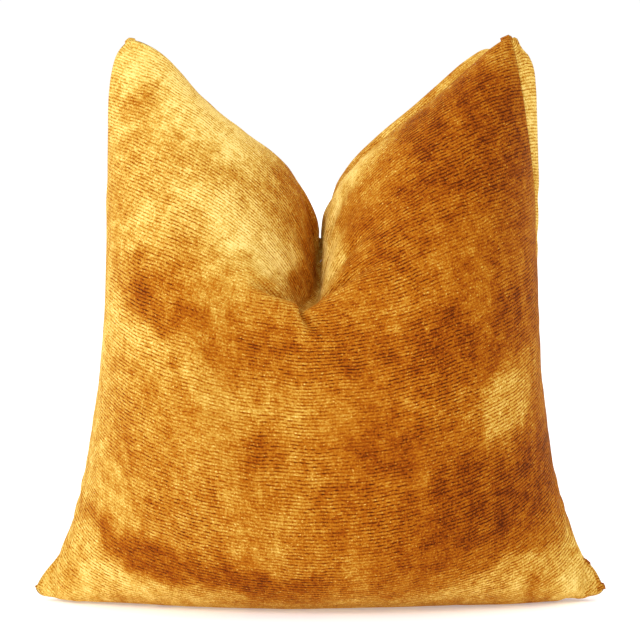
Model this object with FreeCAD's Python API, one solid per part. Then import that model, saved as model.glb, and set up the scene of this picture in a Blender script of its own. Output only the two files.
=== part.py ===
"""Velvet throw pillow with its top chopped in, standing on its lower edge.

The removable cover is two velvet panels sewn round three sides, with a concealed zip in the lower seam.
Inside it is a down insert: a cotton shell of two panels, sewn shut, round its filling.

Frame: X to the right, Y to the back, Z up. The origin is on the floor, under the middle of the pillow.
The four seams lie in the plane Y = 0, and the back half mirrors the front half in it.

A panel is a grid of points. Across runs from -1 at the left seam to 1 at the right seam, and up runs
from 0 at the lower seam to 1 at the upper seam, each in step with the length of the cloth. Every layer
is the outer surface moved inwards along a line that ends on the pillow's core, so layers never cross.
"""
import FreeCAD
import Part
import math
import os

Vector = FreeCAD.Vector

# --- Driving dimensions, in millimetres -----------------------------------------------------------

# The seam outline, seen from the front
BASE_WIDTH = 486.0          # between the tips of the two lower corners
WAIST_WIDTH = 363.0         # between the side seams where they are closest
EAR_SPAN = 334.0            # between the tips of the two upper corners
EAR_HEIGHT = 480.0          # floor to the upper corner tips
CHOP_DEPTH = 169.0          # how far the chop drives the middle of the upper seam below the tips
SEAM_HEIGHT = 7.0           # floor to the lower seam, which the filling lifts clear of it
CORNER_FLARE = 92.0         # height over which the sides swing out to the lower corners
CORNER_TIP = 34.0           # height of the narrower tip at the end of each lower corner
EAR_ROUNDING = 92.0         # height over which the sides round in to the upper corners

# The filled shape
LOFT = 236.0                # front to back at the fullest
CREASE_SHARE = 0.30         # how much of the depth the chop takes out along its crease
CREASE_WIDTH = 0.13         # half width of the crease, on the across scale
FLOOR_PRESS = 0.8           # how far the free shape would reach below the floor that flattens it

# The cover
VELVET = 2.4                # wall of a cover panel, with its pile
ALLOWANCE = 9.0             # seam allowance turned in at the sides and the top
ZIP_HEM = 12.0              # depth of the velvet turned in on each side of the zip
ZIP_SLIT = 1.1              # gap between the two hems, where the slider's spine runs

# The insert
INSERT_GAP = 0.9            # free space between the cover and the insert
COTTON = 0.8                # wall of the insert's shell
INSERT_ALLOWANCE = 5.0      # seam allowance of the insert's shell
FILL_GAP = 0.5              # free space between the shell and the filling
SEAM_CLEARANCE = 3.0        # from the cover's allowance to the insert's seam, for the overlocking
ZIP_ROOM = 18.0             # from the lower seam to the insert, so that the slider can pass

# Sewing
THREAD = 0.5                # thread diameter
STITCH = 4.0                # length of a seam stitch
STITCH_PITCH = 6.5          # from one seam stitch to the next
SEAM_LINE = 2.2             # from the seam's edge to its stitching
OVERLOCK_PITCH = 7.0        # from one overlock loop to the next
OVERLOCK_BITE = 2.0         # how far a loop reaches into the allowance
OVERLOCK_REACH = 1.2        # how far a loop stands past the raw edge
TACK_LENGTH = 4.0           # length of the bar tack at each end of the zip
TACK_PITCH = 0.9            # from one bar of a tack to the next

# The zip
ZIP_LENGTH = 360.0          # length of the toothed chain
TAPE = 0.6                  # thickness of a tape
TAPE_END = 6.0              # tape left beyond the chain at each end
COIL_PITCH = 1.6            # from one tooth to the next of one coil
COIL_BACKBONE = 1.1         # solid back of a coil, from which its teeth stand
COIL_TOOTH = 2.0            # how far a tooth stands out
COIL_HEIGHT = 1.9           # height of the coil above its tape
TOOTH_CLEARANCE = 0.12      # between meshing teeth, and between a tooth and the coil that faces it
STOP_LENGTH = 2.2           # length of each stop along the chain

# The slider and its pull
SLIDER_LENGTH = 9.0         # along the chain
SLIDER_WALL = 1.1           # thickness of its roof and sides
SLIDER_CLEARANCE = 0.30     # between the slider and the coils, tapes and hems
SPINE = 0.7                 # thickness of the web that runs in the slit
SPINE_LENGTH = 2.6          # length of that web along the chain
PIN_RADIUS = 0.55           # pin that the pull turns on
PIN_CLEARANCE = 0.06        # radial, in the spine's hole
PIN_HEIGHT = 2.3            # floor to the pin
PULL_LENGTH = 21.0          # pin to the far end of the pull
PULL_WIDTH = 5.0            # widest part of the pull
PULL_THICKNESS = 1.1        # and its thickness
FORK_THICKNESS = 0.8        # thickness of each of the two ears that hold the pin
FORK_CLEARANCE = 0.15       # between each ear and the spine

# How finely the curved panels are drawn
COLUMNS = 41
ROWS = 27

# --- The pillow's shape ---------------------------------------------------------------------------

# The middle section, from the lower seam over the belly to the upper seam, before the chop:
# up, share of the half loft, height as a share of EAR_HEIGHT
SECTION = [
    (0.00, 0.00, None),
    (0.05, 0.30, 0.000),
    (0.10, 0.56, 0.000),
    (0.17, 0.83, 0.034),
    (0.28, 0.97, 0.130),
    (0.40, 1.00, 0.246),
    (0.52, 0.99, 0.367),
    (0.64, 0.96, 0.492),
    (0.76, 0.89, 0.625),
    (0.86, 0.76, 0.752),
    (0.94, 0.52, 0.877),
    (1.00, 0.00, 1.000),
]


def smooth(x):
    """An eased step from 0 to 1 as x goes from 0 to 1."""
    x = min(max(x, 0.0), 1.0)
    return x * x * (3.0 - 2.0 * x)


def spline_through(knots):
    """A function that passes smoothly through (place, value) knots, flat where they turn back."""
    slopes = []
    for i in range(len(knots)):
        before, after = knots[max(i - 1, 0)], knots[min(i + 1, len(knots) - 1)]
        slopes.append((after[1] - before[1]) / (after[0] - before[0]))

    def value(x):
        i = max(j for j in range(len(knots) - 1) if knots[j][0] <= x or j == 0)
        (x0, y0), (x1, y1) = knots[i], knots[i + 1]
        h = x1 - x0
        s = (x - x0) / h
        start, end = (1 + 2 * s) * (1 - s) ** 2, s * s * (3 - 2 * s)
        lean_start, lean_end = s * (1 - s) ** 2, s * s * (s - 1)
        return y0 * start + y1 * end + h * (slopes[i] * lean_start + slopes[i + 1] * lean_end)

    return value


section_depth = spline_through([(up, share) for up, share, _ in SECTION])
section_height = spline_through(
    [(up, SEAM_HEIGHT if share is None else share * EAR_HEIGHT) for up, _, share in SECTION])


def side_height(up):
    """Height of the side seam."""
    return SEAM_HEIGHT + (EAR_HEIGHT - SEAM_HEIGHT) * up


def half_width(height):
    """Half the distance between the side seams at a height."""
    above = max(height - SEAM_HEIGHT, 0.0)
    flare = 0.8 * math.exp(-above / CORNER_FLARE) + 0.2 * math.exp(-above / CORNER_TIP)
    rounding = max(height - EAR_HEIGHT + EAR_ROUNDING, 0.0) / EAR_ROUNDING
    waist = WAIST_WIDTH / 2
    return waist + (BASE_WIDTH / 2 - waist) * flare - (waist - EAR_SPAN / 2) * rounding ** 4


def chop(across, up):
    """How far the chop lowers the cloth: a V that is sharpest at the upper seam."""
    blunt = 0.05 + 0.35 * (1.0 - up)
    from_middle = math.sqrt(across * across + blunt * blunt)
    return CHOP_DEPTH * up ** 2.2 * max(math.sqrt(1.0 + blunt * blunt) - from_middle, 0.0)


def sideways(across, up):
    """Distance from the middle plane: even at the base, gathered towards the notch at the top."""
    gathered = across * abs(across)
    share = 0.92 * up ** 2.2
    return half_width(side_height(up)) * ((1.0 - share) * across + share * gathered)


def on_outline_plane(across, up):
    """The point of the flat shape between the seams, on the plane Y = 0."""
    return Vector(sideways(across, up), 0.0, side_height(up) - chop(across, up))


def outer_point(across, up):
    """A point of the front panel's outside."""
    puff = (1.0 - abs(across) ** 3) ** 0.72
    near_middle = math.exp(-(across / CREASE_WIDTH) ** 2)
    crease = 1.0 - CREASE_SHARE * smooth((up - 0.68) / 0.2) * near_middle
    depth = LOFT / 2 * section_depth(up) * puff * crease
    middle = 1.0 - across ** 8 if up < 1.0 else 0.0
    height = side_height(up) * (1.0 - middle) + section_height(up) * middle - chop(across, up)
    lowest = -FLOOR_PRESS if 0.0 < up < 1.0 and abs(across) < 1.0 else height
    return Vector(sideways(across, up), -depth, max(height, lowest))


def core_point(across, up):
    """Where the line from the outer point to the pillow's core ends: lower under the chop than at the sides."""
    return on_outline_plane(0.70 * across, 0.12 + (0.46 + 0.30 * across * across) * up)


def towards_core(across, up, depth):
    """The outer point moved a length towards the core."""
    start = outer_point(across, up)
    way = core_point(across, up) - start
    return start + way * (depth / way.Length)


def layer_depth(across, up, wall, side_seam, lower_seam):
    """Depth of a layer: its wall over the panel, growing to its seam's inset at the edge."""
    from_edge = min(1.0 - abs(across), up, 1.0 - up)
    edge = (1.0 - min(from_edge / 0.12, 1.0)) ** 3
    lower = (1.0 - smooth(up / 0.15)) * (1.0 - smooth((abs(across) - 0.87) / 0.10))
    seam = side_seam + (lower_seam - side_seam) * lower
    return wall + (seam - wall) * edge


# Each layer: wall depth, inset of its edge at the side and top seams, and at the lower seam
INSERT_TOP = ALLOWANCE + SEAM_CLEARANCE
COVER_OUTSIDE = (0.0, 0.0, 0.0)
COVER_INSIDE = (VELVET, ALLOWANCE, VELVET)
INSERT_OUTSIDE = (VELVET + INSERT_GAP, INSERT_TOP, ZIP_ROOM)
INSERT_INSIDE = (
    VELVET + INSERT_GAP + COTTON,
    INSERT_TOP + INSERT_ALLOWANCE,
    ZIP_ROOM + INSERT_ALLOWANCE,
)
FILL_OUTSIDE = tuple(depth + FILL_GAP for depth in INSERT_INSIDE)


def layer_point(across, up, layer):
    """A point of a layer. Points on the edge stay on the plane Y = 0."""
    return towards_core(across, up, layer_depth(across, up, *layer))


def steps(count, start, end):
    """Evenly spaced numbers."""
    return [start + (end - start) * i / (count - 1) for i in range(count)]


def crowded(count, start, end):
    """Numbers that crowd towards both ends, where the cloth turns most sharply."""
    turns = steps(count, 0.0, math.pi)
    return [start + (end - start) * (1.0 - math.cos(turn)) / 2.0 for turn in turns]


def layer_face(layer):
    """The front half of a layer as one smooth face."""
    ups = crowded(ROWS, 0.0, 1.0)
    grid = [[layer_point(across, up, layer) for up in ups] for across in crowded(COLUMNS, -1.0, 1.0)]
    surface = Part.BSplineSurface()
    surface.interpolate(grid)
    return surface.toShape()


def solid_from(faces):
    """A solid closed by the faces, with its volume positive."""
    shell = Part.Shell(faces)
    shell.sewShape()
    solid = Part.makeSolid(Part.Shell(shell.Faces))
    if solid.Volume < 0:
        solid.reverse()
    return solid


def panel(outside, inside):
    """The front panel between two layers, closed by the flat seam face that meets the back panel."""
    outer, inner = layer_face(outside), layer_face(inside)
    rim = Part.makeFace([outer.OuterWire, inner.OuterWire], "Part::FaceMakerBullseye")
    return solid_from([outer, inner, rim])


def mirrored(shape):
    """The same shape for the back half."""
    return shape.mirror(Vector(0, 0, 0), Vector(0, 1, 0))


def box(x0, x1, y0, y1, z0, z1):
    """A block between two corners."""
    return Part.makeBox(x1 - x0, y1 - y0, z1 - z0, Vector(x0, y0, z0))


# --- The cover ------------------------------------------------------------------------------------

HEM_BOTTOM = SEAM_HEIGHT
HEM_TOP = SEAM_HEIGHT + VELVET
SLIT_HALF = ZIP_LENGTH / 2 + TAPE_END


def cover_panel():
    """A velvet panel, with its hem turned in along the zip and its base pressed flat by the floor."""
    shell = panel(COVER_OUTSIDE, COVER_INSIDE)
    hem = box(-SLIT_HALF, SLIT_HALF, -ZIP_HEM, 0.0, HEM_BOTTOM, HEM_TOP)
    slit = box(-SLIT_HALF, SLIT_HALF, -ZIP_SLIT / 2, ZIP_SLIT, 0.0, HEM_TOP + VELVET)
    below = box(-BASE_WIDTH, BASE_WIDTH, -LOFT, LOFT, -EAR_HEIGHT, 0.0)
    return shell.fuse(hem).cut(slit).cut(below)


# --- Sewing ---------------------------------------------------------------------------------------


def thread_between(start, end):
    """One straight piece of thread."""
    way = end - start
    return Part.makeCylinder(THREAD / 2, way.Length, start, way)


def seam_point(edge, place, inset):
    """A point on a seam's edge, or inset from it. Place runs from 0 to 1 along that edge."""
    across, up = {
        "left": (-1.0, place),
        "right": (1.0, place),
        "top": (2.0 * place - 1.0, 1.0),
        "bottom": (2.0 * place - 1.0, 0.0),
    }[edge]
    return towards_core(across, up, inset)


def places_along(edge, inset, pitch, start, end):
    """Places a pitch apart along part of a seam, measured where it is inset."""
    fine = steps(600, start, end)
    points = [seam_point(edge, place, inset) for place in fine]
    found, walked = [fine[0]], 0.0
    for place, before, after in zip(fine[1:], points, points[1:]):
        walked += before.distanceToPoint(after)
        if walked >= pitch:
            found.append(place)
            walked = 0.0
    return found


def stitch_row(edge, inset, start, end, pitch=STITCH_PITCH, length=STITCH):
    """A row of lockstitches along part of a seam, one straight piece for each."""
    points = [seam_point(edge, place, inset) for place in places_along(edge, inset, pitch, start, end)]
    row = []
    for here, there in zip(points, points[1:]):
        way = (there - here).normalize()
        row.append(thread_between(here, here + way * length))
    return row


def overlock_row(edge, start, end):
    """Overlock loops over the raw edge of the allowance: one slanting bar for each loop."""
    bite, reach = ALLOWANCE - OVERLOCK_BITE, ALLOWANCE + OVERLOCK_REACH
    places = places_along(edge, bite, OVERLOCK_PITCH, start, end)
    return [thread_between(seam_point(edge, here, bite), seam_point(edge, (here + there) / 2, reach))
            for here, there in zip(places, places[1:])]


def straight_row(y, z, start, end, pitch=STITCH_PITCH, length=STITCH):
    """A straight row of stitches along X."""
    count = int((end - start) // pitch)
    places = [start + pitch * i for i in range(count)]
    return [thread_between(Vector(x, y, z), Vector(x + length, y, z)) for x in places]


def bar_tack(x):
    """A dense patch of short stitches across both hems, which ends the zip's opening."""
    z = SEAM_HEIGHT + VELVET / 2
    reach = ZIP_HEM / 3
    count = int(TACK_LENGTH // TACK_PITCH)
    bars = [x + TACK_PITCH * (i - (count - 1) / 2) for i in range(count)]
    return [thread_between(Vector(b, -reach, z), Vector(b, reach, z)) for b in bars]


# --- The zip --------------------------------------------------------------------------------------

TAPE_BOTTOM = HEM_TOP
COIL_BOTTOM = TAPE_BOTTOM + TAPE
COIL_TOP = COIL_BOTTOM + COIL_HEIGHT
TOOTH_OVERLAP = COIL_TOOTH / 2 - TOOTH_CLEARANCE / 2     # how far a tooth passes the middle plane
COIL_BACK = COIL_TOOTH / 2 + TOOTH_CLEARANCE / 2 + COIL_BACKBONE
CHAIN_END = ZIP_LENGTH / 2


def zip_tape(side):
    """One woven tape, lying on its hem and reaching in to the coil. Side is -1 in front, 1 behind."""
    inner, outer = ZIP_SLIT / 2, ZIP_HEM
    y0, y1 = sorted((side * inner, side * outer))
    return box(-SLIT_HALF, SLIT_HALF, y0, y1, TAPE_BOTTOM, COIL_BOTTOM)


def coil_outline(side, first):
    """The comb-shaped outline of one coil, with its teeth pointing at the other coil."""
    width = COIL_PITCH / 2 - TOOTH_CLEARANCE
    back, root, tip = side * COIL_BACK, side * (COIL_BACK - COIL_BACKBONE), -side * TOOTH_OVERLAP
    count = int((2 * CHAIN_END - first) // COIL_PITCH)
    points = [Vector(-CHAIN_END, back, COIL_BOTTOM), Vector(-CHAIN_END, root, COIL_BOTTOM)]
    for i in range(count):
        x = -CHAIN_END + first + i * COIL_PITCH
        points += [Vector(x, y, COIL_BOTTOM) for y in (root, tip)]
        points += [Vector(x + width, y, COIL_BOTTOM) for y in (tip, root)]
    points += [Vector(CHAIN_END, root, COIL_BOTTOM), Vector(CHAIN_END, back, COIL_BOTTOM)]
    return Part.makePolygon(points + points[:1])


def zip_coil(side):
    """One coil of the chain. The back one is half a pitch along, so that the two mesh."""
    first = TOOTH_CLEARANCE if side < 0 else TOOTH_CLEARANCE + COIL_PITCH / 2
    return Part.Face(coil_outline(side, first)).extrude(Vector(0, 0, COIL_HEIGHT))


SLIDER_INNER = COIL_BACK + SLIDER_CLEARANCE             # half the channel's width
SLIDER_OUTER = SLIDER_INNER + SLIDER_WALL
SLIDER_FLOOR = COIL_BOTTOM + SLIDER_CLEARANCE
SLIDER_ROOF = COIL_TOP + SLIDER_CLEARANCE
SPINE_X = CHAIN_END + SLIDER_CLEARANCE + SPINE_LENGTH / 2   # middle of the spine, past the last tooth
SLIDER_START = SPINE_X + SPINE_LENGTH / 2 - SLIDER_LENGTH
STOP_GAP = 0.8                                          # between the slider at rest and its stops


def top_stop(side):
    """A crimped stop on one tape, beyond the closed slider."""
    start = SPINE_X + SPINE_LENGTH / 2 + STOP_GAP
    y0, y1 = sorted((side * ZIP_SLIT / 2, side * SLIDER_OUTER))
    return box(start, start + STOP_LENGTH, y0, y1, COIL_BOTTOM, COIL_TOP)


def bottom_stop():
    """The stop that joins both tapes at the open end."""
    return box(-CHAIN_END - STOP_LENGTH, -CHAIN_END, -SLIDER_OUTER, SLIDER_OUTER, COIL_BOTTOM, COIL_TOP)


def slider():
    """The slider: a channel over the chain, and a spine that comes out through the slit to the pull."""
    end = SLIDER_START + SLIDER_LENGTH
    body = box(SLIDER_START, end, -SLIDER_OUTER, SLIDER_OUTER, SLIDER_FLOOR, SLIDER_ROOF + SLIDER_WALL)
    channel = box(SLIDER_START - 1, end + 1, -SLIDER_INNER, SLIDER_INNER, SLIDER_FLOOR - 1, SLIDER_ROOF)
    corners = [e for e in body.Edges if abs(e.Vertexes[0].Z - e.Vertexes[-1].Z) > SLIDER_WALL]
    body = body.makeFillet(SLIDER_WALL, corners).cut(channel)
    half = SPINE_LENGTH / 2
    web = box(SPINE_X - half, SPINE_X + half, -SPINE / 2, SPINE / 2, PIN_HEIGHT, SLIDER_ROOF)
    foot = Part.makeCylinder(half, SPINE, Vector(SPINE_X, -SPINE / 2, PIN_HEIGHT), Vector(0, 1, 0))
    hole = Part.makeCylinder(PIN_RADIUS + PIN_CLEARANCE, SPINE * 3,
                             Vector(SPINE_X, -SPINE * 1.5, PIN_HEIGHT), Vector(0, 1, 0))
    return body.fuse([web, foot]).removeSplitter().cut(hole)


FORK_INNER = SPINE / 2 + FORK_CLEARANCE
FORK_OUTER = FORK_INNER + FORK_THICKNESS


def pull_pin():
    """The pin through the pull's fork and the slider's spine."""
    return Part.makeCylinder(PIN_RADIUS, 2 * FORK_OUTER,
                             Vector(SPINE_X, -FORK_OUTER, PIN_HEIGHT), Vector(0, 1, 0))


def pull_tab():
    """The drop-shaped pull: a fork on the pin, a neck, and a round end with a hole."""
    bottom = PIN_HEIGHT - PULL_THICKNESS / 2
    neck_start = SPINE_X - SPINE_LENGTH / 2 - 2 * FORK_CLEARANCE - PIN_CLEARANCE
    end_radius = PULL_WIDTH / 2
    end_x = SPINE_X - PULL_LENGTH + end_radius
    outline = Part.makePolygon([
        Vector(neck_start, -FORK_OUTER, bottom), Vector(neck_start, FORK_OUTER, bottom),
        Vector(end_x, end_radius, bottom), Vector(end_x, -end_radius, bottom),
        Vector(neck_start, -FORK_OUTER, bottom)])
    drop = Part.Face(outline).extrude(Vector(0, 0, PULL_THICKNESS))
    round_end = Part.makeCylinder(end_radius, PULL_THICKNESS, Vector(end_x, 0, bottom))
    eye = Part.makeCylinder(end_radius / 2.2, PULL_THICKNESS * 3, Vector(end_x, 0, bottom - PULL_THICKNESS))
    tab = drop.fuse(round_end).cut(eye)
    for y in (-FORK_OUTER, FORK_INNER):
        disc = Part.makeCylinder(PULL_THICKNESS, FORK_THICKNESS, Vector(SPINE_X, y, PIN_HEIGHT), Vector(0, 1, 0))
        arm = box(neck_start - 0.4, SPINE_X, y, y + FORK_THICKNESS, bottom, bottom + PULL_THICKNESS)
        tab = tab.fuse([disc, arm])
    bore = Part.makeCylinder(PIN_RADIUS, 4 * FORK_OUTER,
                             Vector(SPINE_X, -2 * FORK_OUTER, PIN_HEIGHT), Vector(0, 1, 0))
    return tab.removeSplitter().cut(bore)


# --- The insert -----------------------------------------------------------------------------------

CLOSING_START, CLOSING_END = 0.36, 0.64      # where along the insert's lower seam it was filled and shut


def insert_stitch_inset(edge):
    """Depth of the insert's seam stitching below the cover's edge."""
    return (ZIP_ROOM if edge == "bottom" else INSERT_TOP) + SEAM_LINE


def insert_seam():
    """The machine stitching round the insert, apart from the closing."""
    rows = []
    for edge, start, end in (
        ("left", 0.06, 0.97), ("right", 0.06, 0.97), ("top", 0.02, 0.48), ("top", 0.52, 0.98),
        ("bottom", 0.08, CLOSING_START - 0.02), ("bottom", CLOSING_END + 0.02, 0.92),
    ):
        rows += stitch_row(edge, insert_stitch_inset(edge), start, end)
    return rows


def insert_closing():
    """The closer stitches that shut the insert after filling."""
    return stitch_row("bottom", insert_stitch_inset("bottom"), CLOSING_START, CLOSING_END,
                      pitch=STITCH_PITCH * 0.6, length=STITCH * 0.6)


def filling():
    """The down filling as one closed body."""
    front = layer_face(FILL_OUTSIDE)
    return solid_from([front, mirrored(front)])


# --- Writing the pieces ---------------------------------------------------------------------------


def all_pieces():
    """Every piece of the pillow, by name."""
    velvet = cover_panel()
    cotton = panel(INSERT_OUTSIDE, INSERT_INSIDE)
    zip_row = ZIP_HEM * 0.6
    end_start = (1.0 + (SLIT_HALF + TACK_LENGTH + STITCH) / (BASE_WIDTH / 2)) / 2
    pieces = {
        "front_panel": velvet,
        "back_panel": mirrored(velvet),
        "seam_stitches_left": stitch_row("left", SEAM_LINE, 0.02, 0.985),
        "seam_stitches_right": stitch_row("right", SEAM_LINE, 0.02, 0.985),
        "seam_stitches_top_left": stitch_row("top", SEAM_LINE, 0.01, 0.47),
        "seam_stitches_top_right": stitch_row("top", SEAM_LINE, 0.53, 0.99),
        "seam_stitches_lower_corners": (
            stitch_row("bottom", SEAM_LINE, 0.015, 1.0 - end_start)
            + stitch_row("bottom", SEAM_LINE, end_start, 0.985)),
        "overlock_left": overlock_row("left", 0.05, 0.97),
        "overlock_right": overlock_row("right", 0.05, 0.97),
        "overlock_top_left": overlock_row("top", 0.03, 0.45),
        "overlock_top_right": overlock_row("top", 0.55, 0.97),
        "zip_tape_front": zip_tape(-1),
        "zip_tape_back": zip_tape(1),
        "zip_coil_front": zip_coil(-1),
        "zip_coil_back": zip_coil(1),
        "zip_stitches_front": straight_row(-zip_row, TAPE_BOTTOM, -SLIT_HALF + 2, SLIT_HALF - 2),
        "zip_stitches_back": straight_row(zip_row, TAPE_BOTTOM, -SLIT_HALF + 2, SLIT_HALF - 2),
        "zip_bar_tacks": bar_tack(-SLIT_HALF - TACK_LENGTH / 2) + bar_tack(SLIT_HALF + TACK_LENGTH / 2),
        "zip_top_stop_front": top_stop(-1),
        "zip_top_stop_back": top_stop(1),
        "zip_bottom_stop": bottom_stop(),
        "zip_slider": slider(),
        "zip_pull": pull_tab(),
        "zip_pull_pin": pull_pin(),
        "insert_shell_front": cotton,
        "insert_shell_back": mirrored(cotton),
        "insert_seam_stitches": insert_seam(),
        "insert_closing_stitches": insert_closing(),
        "insert_filling": filling(),
    }
    return pieces


def main():
    os.makedirs("parts", exist_ok=True)
    for name, made in all_pieces().items():
        shape = Part.makeCompound(made) if isinstance(made, list) else made
        shape.exportStep(f"parts/{name}.step")
        box_of = shape.BoundBox
        print(f"{name:28s} {len(shape.Solids):4d} solids, valid {shape.isValid()}, "
              f"{shape.Volume / 1000:9.2f} cm3, z {box_of.ZMin:7.2f} to {box_of.ZMax:7.2f}, "
              f"y {box_of.YMin:7.2f} to {box_of.YMax:7.2f}")


main()
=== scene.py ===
# %% [markdown]
# # A chopped velvet throw pillow
# A throw pillow is two flat squares of cloth, sewn together and blown out by their filling. Cloth bends
# easily and hardly stretches, so its shape can't be guessed point by point. This lesson cuts the two
# squares flat, holds their seams where the standing pillow has them, and lets the cloth find the rest.
# Everything is in metres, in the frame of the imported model: X to the right, Y to the back, Z up.

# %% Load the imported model
import math

import bpy
import numpy as np
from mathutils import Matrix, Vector


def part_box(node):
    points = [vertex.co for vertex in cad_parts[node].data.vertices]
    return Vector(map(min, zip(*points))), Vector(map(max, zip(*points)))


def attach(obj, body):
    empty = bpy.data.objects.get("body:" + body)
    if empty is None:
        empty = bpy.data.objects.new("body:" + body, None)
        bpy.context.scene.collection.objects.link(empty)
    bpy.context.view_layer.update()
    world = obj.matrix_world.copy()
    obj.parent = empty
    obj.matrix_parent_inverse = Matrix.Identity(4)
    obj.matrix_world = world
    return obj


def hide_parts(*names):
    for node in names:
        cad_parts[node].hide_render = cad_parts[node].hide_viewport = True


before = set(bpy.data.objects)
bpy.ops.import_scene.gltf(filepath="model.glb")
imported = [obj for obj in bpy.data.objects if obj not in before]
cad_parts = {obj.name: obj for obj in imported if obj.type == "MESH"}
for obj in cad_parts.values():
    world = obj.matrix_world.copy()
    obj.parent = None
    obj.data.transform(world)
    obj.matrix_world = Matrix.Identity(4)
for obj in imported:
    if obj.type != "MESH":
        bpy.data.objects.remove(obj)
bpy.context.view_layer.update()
low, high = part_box("front_panel")
HALF_WIDTH, HALF_LOFT, HEIGHT = high.x, -low.y, high.z
SHARES = np.array([HALF_WIDTH, HALF_LOFT, HEIGHT])
print(f"packed pillow: {2 * HALF_WIDTH:.3f} wide, {2 * HALF_LOFT:.3f} deep, {HEIGHT:.3f} tall")

# %% [markdown]
# ## Where the seams lie
# A chop with the hand pushes the middle of the top seam down, and the upper corners lean in like ears.
# The lower corners spread on the floor. Each seam is a smooth curve through a few points, given as shares
# of the half width, half loft and height. It is walked at an even pace, because cloth sewn into a seam
# can't bunch along it. The right ear is rolled a little to the front, so its seams come forward.

# %% Seam curves
CUT = 0.500            # side of the square that each panel was cut to, from seam to seam
CELLS = 104            # cells of cloth across a panel, and up it
COARSE = 26            # cells of the coarsest grid
FINE = 30              # samples of a curve between two of its points
LEFT_SEAM = [
    (-1.000, 0, .021), (-.987, 0, .037), (-.962, 0, .055), (-.932, 0, .073), (-.906, 0, .092),
    (-.880, 0, .117), (-.859, 0, .146), (-.843, 0, .180),
    (-.815, 0, .250), (-.778, 0, .356), (-.755, 0, .428), (-.739, 0, .533), (-.734, 0, .640),
    (-.738, 0, .728), (-.738, 0, .798), (-.738, 0, .885), (-.726, 0, .938), (-.704, 0, .972),
    (-.662, 0, .994)]
RIGHT_SEAM = [
    (1.000, 0, .022), (.967, 0, .055), (.928, 0, .078), (.890, 0, .112), (.844, 0, .180),
    (.812, 0, .250), (.782, 0, .356), (.768, 0, .428), (.757, -.03, .533), (.750, -.08, .640),
    (.741, -.14, .740), (.724, -.19, .808), (.703, -.21, .885), (.688, -.17, .932), (.675, -.10, .971),
    (.658, -.03, .999)]
TOP_LEFT_SEAM = [
    (-.662, 0, .994), (-.608, 0, .987), (-.526, 0, .959), (-.402, -.02, .887), (-.270, -.04, .833),
    (-.140, -.05, .785), (-.062, -.04, .732), (-.022, -.02, .694), (-.003, 0, .664), (-.001, 0, .625)]
TOP_RIGHT_SEAM = [
    (-.001, 0, .625), (.001, 0, .664), (.012, -.02, .690), (.050, -.05, .722), (.124, -.09, .768),
    (.227, -.12, .815), (.350, -.12, .867), (.508, -.11, .938), (.594, -.08, .978), (.658, -.03, .999)]
LOWER_SEAM = [
    (-1.000, 0, .021), (-.987, 0, .009), (-.955, 0, .006), (-.910, 0, .008), (-.860, 0, .010),
    (-.780, 0, .0146), (0.0, 0, .0146),
    (.780, 0, .0146), (.860, 0, .010), (.915, 0, .008), (.958, 0, .007), (.988, 0, .011), (1.000, 0, .022)]
OUTLINE_RIGHT = [
    (1.000, .022), (.920, .078), (.885, .112), (.844, .180), (.812, .250), (.782, .356), (.768, .428),
    (.757, .533), (.754, .640), (.754, .728), (.752, .800), (.748, .885), (.744, .935), (.732, .963),
    (.708, .992)]
EAR_TIP = (.686, .03, 1.003)        # where the rolled ear is highest

# %% Walking along a curve
def walked(points):
    """How far along the line through the points each of them lies."""
    return np.r_[0, np.cumsum(np.linalg.norm(np.diff(points, axis=0), axis=1))]


def read_off(points, marks, at):
    """Places on the line through the points, each of which has a mark, where the mark would be as asked."""
    return np.stack([np.interp(at, marks, points[:, i]) for i in range(3)], -1)


def walk(knots, count):
    """Points evenly spaced along a smooth curve through the knots.

    Between each pair of knots runs a cubic whose slopes come from the neighbours. It is sampled finely, its
    length is added up, and the points are read off at equal lengths.
    """
    knots = np.array(knots, float) * SHARES
    slope = np.gradient(knots, axis=0)
    s = np.linspace(0, 1, FINE, endpoint=False)[None, :, None]
    here, there, leave, arrive = knots[:-1, None], knots[1:, None], slope[:-1, None], slope[1:, None]
    fine = (here * (1 + 2 * s) * (1 - s) ** 2 + there * s * s * (3 - 2 * s)
            + leave * s * (1 - s) ** 2 - arrive * s * s * (1 - s))
    fine = np.vstack([fine.reshape(-1, 3), knots[-1]])
    return read_off(fine, walked(fine), np.linspace(0, walked(fine)[-1], count))

# %% The four seams
def seam_curves(cells):
    """The four seams of a panel with that many cells: left and right going up, lower and top going right."""
    top = np.vstack([walk(TOP_LEFT_SEAM, cells // 2 + 1), walk(TOP_RIGHT_SEAM, cells // 2 + 1)[1:]])
    return walk(LEFT_SEAM, cells + 1), walk(RIGHT_SEAM, cells + 1), walk(LOWER_SEAM, cells + 1), top


for seam, curve in zip(("left", "right", "lower", "top"), seam_curves(CELLS)):
    print(f"{seam} seam: {walked(curve)[-1]:.3f} of the {CUT:.3f} that was cut")

# %% [markdown]
# ## The crease
# Where the hand came down, the cloth lies in a groove from the top seam out to the belly, and the two
# lobes close over it. The groove's floor is a fixed line. Above it the lobes meet in an upright face that
# leans to the left as it comes forward, so the right lobe laps over the left one.

# %% Crease floor and the face between the lobes
CREASE_FLOOR = [
    (-.002, 0, .625), (-.002, -.18, .575), (-.006, -.38, .540), (-.018, -.60, .520), (-.040, -.80, .514),
    (-.092, -.95, .522)]
CREASE_UP = .66         # height on the cloth at which the groove runs out on the belly
LOBE_GAP = .0006        # between the two lobes where they press together
GROOVE_POINTS = 200     # samples of the groove's floor
NO_GROOVE = 9           # a height above everything
LOBE_HEIGHTS = [.240, .250, .256, .264, .281, .307, .318]
LOBE_ACROSS = [-.024, -.018, -.012, -.0065, -.004, -.0022, -.001]


def smooth(x):
    """An eased step from 0 to 1."""
    x = np.clip(x, 0, 1)
    return x * x * (3 - 2 * x)


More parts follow.
